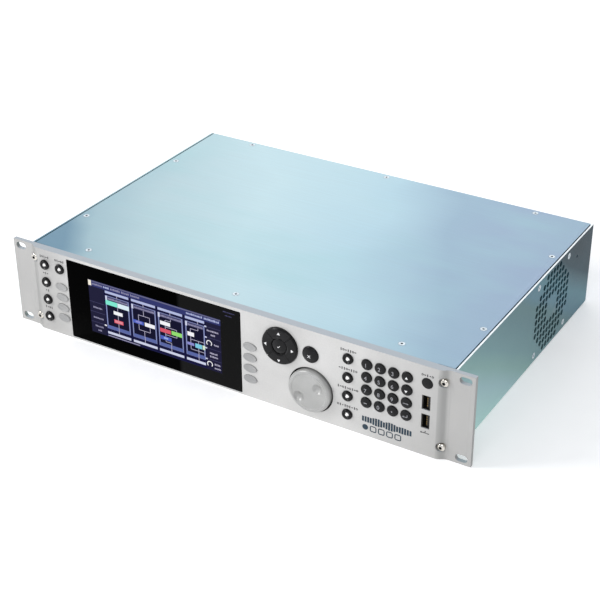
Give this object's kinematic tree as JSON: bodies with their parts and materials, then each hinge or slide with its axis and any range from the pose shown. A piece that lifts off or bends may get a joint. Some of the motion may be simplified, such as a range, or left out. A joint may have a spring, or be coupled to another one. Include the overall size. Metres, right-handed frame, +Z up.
{
  "type": "rack effects unit",
  "caption": "Two-unit rack effects processor: machined front panel with display, sprung keys, arrow ring and jog wheel, on a sheet-metal case with a side fan.",
  "frame": {"origin": "centre of the four rack slots, on the rear face of the panel's ears", "axes": "+X to the unit's right seen from the front, +Y to the back, +Z up"},
  "size_m": [0.4826, 0.3295, 0.0882],
  "materials": {
    "panel_aluminium": "bead-blasted, anodised light grey",
    "passivated_sheet": "zinc plated, blue-clear passivated",
    "window_glass": "black gloss, flush",
    "display_frame": "black",
    "circuit_laminate": "solder mask",
    "light_pipe": "clear, lit white",
    "bright_steel": "bright plated",
    "black_heat_sink": "black anodised",
    "supply_steel": "galvanised",
    "fan_plastic": "moulded black",
    "connector_plastic": "moulded black",
    "soft_key_plastic": "satin silver grey",
    "black_key_plastic": "fine satin black",
    "wheel_plastic": "satin silver grey"
  },
  "bodies": {
    "chassis": {"front_panel": "panel_aluminium", "chassis_tray": "passivated_sheet", "top_cover": "passivated_sheet", "rear_panel": "passivated_sheet", "display_window": "window_glass", "display_module": "display_frame", "control_board": "circuit_laminate", "light_pipes": "light_pipe", "wheel_encoder": "bright_steel", "usb_sockets": "bright_steel", "main_board": "circuit_laminate", "processor_modules": "black_heat_sink", "power_supply": "supply_steel", "fan_frame": "fan_plastic", "mains_inlet": "connector_plastic", "rear_connectors": "connector_plastic", "case_screws": "bright_steel", "panel_screws": "bright_steel"},
    "soft_key_left_1": {"soft_key_left_1": "soft_key_plastic"},
    "soft_key_left_2": {"soft_key_left_2": "soft_key_plastic"},
    "soft_key_left_3": {"soft_key_left_3": "soft_key_plastic"},
    "soft_key_left_4": {"soft_key_left_4": "soft_key_plastic"},
    "soft_key_right_1": {"soft_key_right_1": "soft_key_plastic"},
    "soft_key_right_2": {"soft_key_right_2": "soft_key_plastic"},
    "soft_key_right_3": {"soft_key_right_3": "soft_key_plastic"},
    "soft_key_right_4": {"soft_key_right_4": "soft_key_plastic"},
    "mode_key_1": {"mode_key_1": "black_key_plastic"},
    "mode_key_2": {"mode_key_2": "black_key_plastic"},
    "mode_key_3": {"mode_key_3": "black_key_plastic"},
    "mode_key_4": {"mode_key_4": "black_key_plastic"},
    "mode_key_5": {"mode_key_5": "black_key_plastic"},
    "mode_key_6": {"mode_key_6": "black_key_plastic"},
    "mode_key_7": {"mode_key_7": "black_key_plastic"},
    "mode_key_8": {"mode_key_8": "black_key_plastic"},
    "mode_key_9": {"mode_key_9": "black_key_plastic"},
    "number_key_1": {"number_key_1": "black_key_plastic"},
    "number_key_2": {"number_key_2": "black_key_plastic"},
    "number_key_3": {"number_key_3": "black_key_plastic"},
    "number_key_up": {"number_key_up": "black_key_plastic"},
    "number_key_4": {"number_key_4": "black_key_plastic"},
    "number_key_5": {"number_key_5": "black_key_plastic"},
    "number_key_6": {"number_key_6": "black_key_plastic"},
    "number_key_down": {"number_key_down": "black_key_plastic"},
    "number_key_7": {"number_key_7": "black_key_plastic"},
    "number_key_8": {"number_key_8": "black_key_plastic"},
    "number_key_9": {"number_key_9": "black_key_plastic"},
    "number_key_shift": {"number_key_shift": "black_key_plastic"},
    "number_key_minus": {"number_key_minus": "black_key_plastic"},
    "number_key_0": {"number_key_0": "black_key_plastic"},
    "number_key_point": {"number_key_point": "black_key_plastic"},
    "number_key_enter": {"number_key_enter": "black_key_plastic"},
    "arrow_key_up": {"arrow_key_up": "black_key_plastic"},
    "arrow_key_left": {"arrow_key_left": "black_key_plastic"},
    "arrow_key_down": {"arrow_key_down": "black_key_plastic"},
    "arrow_key_right": {"arrow_key_right": "black_key_plastic"},
    "select_key": {"select_key": "black_key_plastic"},
    "cancel_key": {"cancel_key": "black_key_plastic"},
    "power_key": {"power_key": "black_key_plastic"},
    "jog_wheel": {"jog_wheel": "wheel_plastic"},
    "fan_rotor": {"fan_rotor": "fan_plastic"}
  },
  "joints": [
    {"name": "soft_key_left_1_press", "type": "slide", "parent": "chassis", "child": "soft_key_left_1", "axis": [0, 1, 0], "range_m": [0, 0.0012], "stiffness_N_per_m": 200, "springref_m": -0.0005},
    {"name": "soft_key_left_2_press", "type": "slide", "parent": "chassis", "child": "soft_key_left_2", "axis": [0, 1, 0], "range_m": [0, 0.0012], "stiffness_N_per_m": 200, "springref_m": -0.0005},
    {"name": "soft_key_left_3_press", "type": "slide", "parent": "chassis", "child": "soft_key_left_3", "axis": [0, 1, 0], "range_m": [0, 0.0012], "stiffness_N_per_m": 200, "springref_m": -0.0005},
    {"name": "soft_key_left_4_press", "type": "slide", "parent": "chassis", "child": "soft_key_left_4", "axis": [0, 1, 0], "range_m": [0, 0.0012], "stiffness_N_per_m": 200, "springref_m": -0.0005},
    {"name": "soft_key_right_1_press", "type": "slide", "parent": "chassis", "child": "soft_key_right_1", "axis": [0, 1, 0], "range_m": [0, 0.0012], "stiffness_N_per_m": 200, "springref_m": -0.0005},
    {"name": "soft_key_right_2_press", "type": "slide", "parent": "chassis", "child": "soft_key_right_2", "axis": [0, 1, 0], "range_m": [0, 0.0012], "stiffness_N_per_m": 200, "springref_m": -0.0005},
    {"name": "soft_key_right_3_press", "type": "slide", "parent": "chassis", "child": "soft_key_right_3", "axis": [0, 1, 0], "range_m": [0, 0.0012], "stiffness_N_per_m": 200, "springref_m": -0.0005},
    {"name": "soft_key_right_4_press", "type": "slide", "parent": "chassis", "child": "soft_key_right_4", "axis": [0, 1, 0], "range_m": [0, 0.0012], "stiffness_N_per_m": 200, "springref_m": -0.0005},
    {"name": "mode_key_1_press", "type": "slide", "parent": "chassis", "child": "mode_key_1", "axis": [0, 1, 0], "range_m": [0, 0.0012], "stiffness_N_per_m": 200, "springref_m": -0.0005},
    {"name": "mode_key_2_press", "type": "slide", "parent": "chassis", "child": "mode_key_2", "axis": [0, 1, 0], "range_m": [0, 0.0012], "stiffness_N_per_m": 200, "springref_m": -0.0005},
    {"name": "mode_key_3_press", "type": "slide", "parent": "chassis", "child": "mode_key_3", "axis": [0, 1, 0], "range_m": [0, 0.0012], "stiffness_N_per_m": 200, "springref_m": -0.0005},
    {"name": "mode_key_4_press", "type": "slide", "parent": "chassis", "child": "mode_key_4", "axis": [0, 1, 0], "range_m": [0, 0.0012], "stiffness_N_per_m": 200, "springref_m": -0.0005},
    {"name": "mode_key_5_press", "type": "slide", "parent": "chassis", "child": "mode_key_5", "axis": [0, 1, 0], "range_m": [0, 0.0012], "stiffness_N_per_m": 200, "springref_m": -0.0005},
    {"name": "mode_key_6_press", "type": "slide", "parent": "chassis", "child": "mode_key_6", "axis": [0, 1, 0], "range_m": [0, 0.0012], "stiffness_N_per_m": 200, "springref_m": -0.0005},
    {"name": "mode_key_7_press", "type": "slide", "parent": "chassis", "child": "mode_key_7", "axis": [0, 1, 0], "range_m": [0, 0.0012], "stiffness_N_per_m": 200, "springref_m": -0.0005},
    {"name": "mode_key_8_press", "type": "slide", "parent": "chassis", "child": "mode_key_8", "axis": [0, 1, 0], "range_m": [0, 0.0012], "stiffness_N_per_m": 200, "springref_m": -0.0005},
    {"name": "mode_key_9_press", "type": "slide", "parent": "chassis", "child": "mode_key_9", "axis": [0, 1, 0], "range_m": [0, 0.0012], "stiffness_N_per_m": 200, "springref_m": -0.0005},
    {"name": "number_key_1_press", "type": "slide", "parent": "chassis", "child": "number_key_1", "axis": [0, 1, 0], "range_m": [0, 0.0012], "stiffness_N_per_m": 200, "springref_m": -0.0005},
    {"name": "number_key_2_press", "type": "slide", "parent": "chassis", "child": "number_key_2", "axis": [0, 1, 0], "range_m": [0, 0.0012], "stiffness_N_per_m": 200, "springref_m": -0.0005},
    {"name": "number_key_3_press", "type": "slide", "parent": "chassis", "child": "number_key_3", "axis": [0, 1, 0], "range_m": [0, 0.0012], "stiffness_N_per_m": 200, "springref_m": -0.0005},
    {"name": "number_key_up_press", "type": "slide", "parent": "chassis", "child": "number_key_up", "axis": [0, 1, 0], "range_m": [0, 0.0012], "stiffness_N_per_m": 200, "springref_m": -0.0005},
    {"name": "number_key_4_press", "type": "slide", "parent": "chassis", "child": "number_key_4", "axis": [0, 1, 0], "range_m": [0, 0.0012], "stiffness_N_per_m": 200, "springref_m": -0.0005},
    {"name": "number_key_5_press", "type": "slide", "parent": "chassis", "child": "number_key_5", "axis": [0, 1, 0], "range_m": [0, 0.0012], "stiffness_N_per_m": 200, "springref_m": -0.0005},
    {"name": "number_key_6_press", "type": "slide", "parent": "chassis", "child": "number_key_6", "axis": [0, 1, 0], "range_m": [0, 0.0012], "stiffness_N_per_m": 200, "springref_m": -0.0005},
    {"name": "number_key_down_press", "type": "slide", "parent": "chassis", "child": "number_key_down", "axis": [0, 1, 0], "range_m": [0, 0.0012], "stiffness_N_per_m": 200, "springref_m": -0.0005},
    {"name": "number_key_7_press", "type": "slide", "parent": "chassis", "child": "number_key_7", "axis": [0, 1, 0], "range_m": [0, 0.0012], "stiffness_N_per_m": 200, "springref_m": -0.0005},
    {"name": "number_key_8_press", "type": "slide", "parent": "chassis", "child": "number_key_8", "axis": [0, 1, 0], "range_m": [0, 0.0012], "stiffness_N_per_m": 200, "springref_m": -0.0005},
    {"name": "number_key_9_press", "type": "slide", "parent": "chassis", "child": "number_key_9", "axis": [0, 1, 0], "range_m": [0, 0.0012], "stiffness_N_per_m": 200, "springref_m": -0.0005},
    {"name": "number_key_shift_press", "type": "slide", "parent": "chassis", "child": "number_key_shift", "axis": [0, 1, 0], "range_m": [0, 0.0012], "stiffness_N_per_m": 200, "springref_m": -0.0005},
    {"name": "number_key_minus_press", "type": "slide", "parent": "chassis", "child": "number_key_minus", "axis": [0, 1, 0], "range_m": [0, 0.0012], "stiffness_N_per_m": 200, "springref_m": -0.0005},
    {"name": "number_key_0_press", "type": "slide", "parent": "chassis", "child": "number_key_0", "axis": [0, 1, 0], "range_m": [0, 0.0012], "stiffness_N_per_m": 200, "springref_m": -0.0005},
    {"name": "number_key_point_press", "type": "slide", "parent": "chassis", "child": "number_key_point", "axis": [0, 1, 0], "range_m": [0, 0.0012], "stiffness_N_per_m": 200, "springref_m": -0.0005},
    {"name": "number_key_enter_press", "type": "slide", "parent": "chassis", "child": "number_key_enter", "axis": [0, 1, 0], "range_m": [0, 0.0012], "stiffness_N_per_m": 200, "springref_m": -0.0005},
    {"name": "arrow_key_up_press", "type": "slide", "parent": "chassis", "child": "arrow_key_up", "axis": [0, 1, 0], "range_m": [0, 0.0012], "stiffness_N_per_m": 200, "springref_m": -0.0005},
    {"name": "arrow_key_left_press", "type": "slide", "parent": "chassis", "child": "arrow_key_left", "axis": [0, 1, 0], "range_m": [0, 0.0012], "stiffness_N_per_m": 200, "springref_m": -0.0005},
    {"name": "arrow_key_down_press", "type": "slide", "parent": "chassis", "child": "arrow_key_down", "axis": [0, 1, 0], "range_m": [0, 0.0012], "stiffness_N_per_m": 200, "springref_m": -0.0005},
    {"name": "arrow_key_right_press", "type": "slide", "parent": "chassis", "child": "arrow_key_right", "axis": [0, 1, 0], "range_m": [0, 0.0012], "stiffness_N_per_m": 200, "springref_m": -0.0005},
    {"name": "select_key_press", "type": "slide", "parent": "chassis", "child": "select_key", "axis": [0, 1, 0], "range_m": [0, 0.0012], "stiffness_N_per_m": 200, "springref_m": -0.0005},
    {"name": "cancel_key_press", "type": "slide", "parent": "chassis", "child": "cancel_key", "axis": [0, 1, 0], "range_m": [0, 0.0012], "stiffness_N_per_m": 200, "springref_m": -0.0005},
    {"name": "power_key_press", "type": "slide", "parent": "chassis", "child": "power_key", "axis": [0, 1, 0], "range_m": [0, 0.0012], "stiffness_N_per_m": 200, "springref_m": -0.0005},
    {"name": "jog_wheel_turn", "type": "hinge", "parent": "chassis", "child": "jog_wheel", "pos_m": [0.09, -0.008, -0.0152], "axis": [0, -1, 0], "continuous": true},
    {"name": "fan_spin", "type": "hinge", "parent": "chassis", "child": "fan_rotor", "pos_m": [0.2083, 0.2082, 0], "axis": [1, 0, 0], "continuous": true}
  ]
}
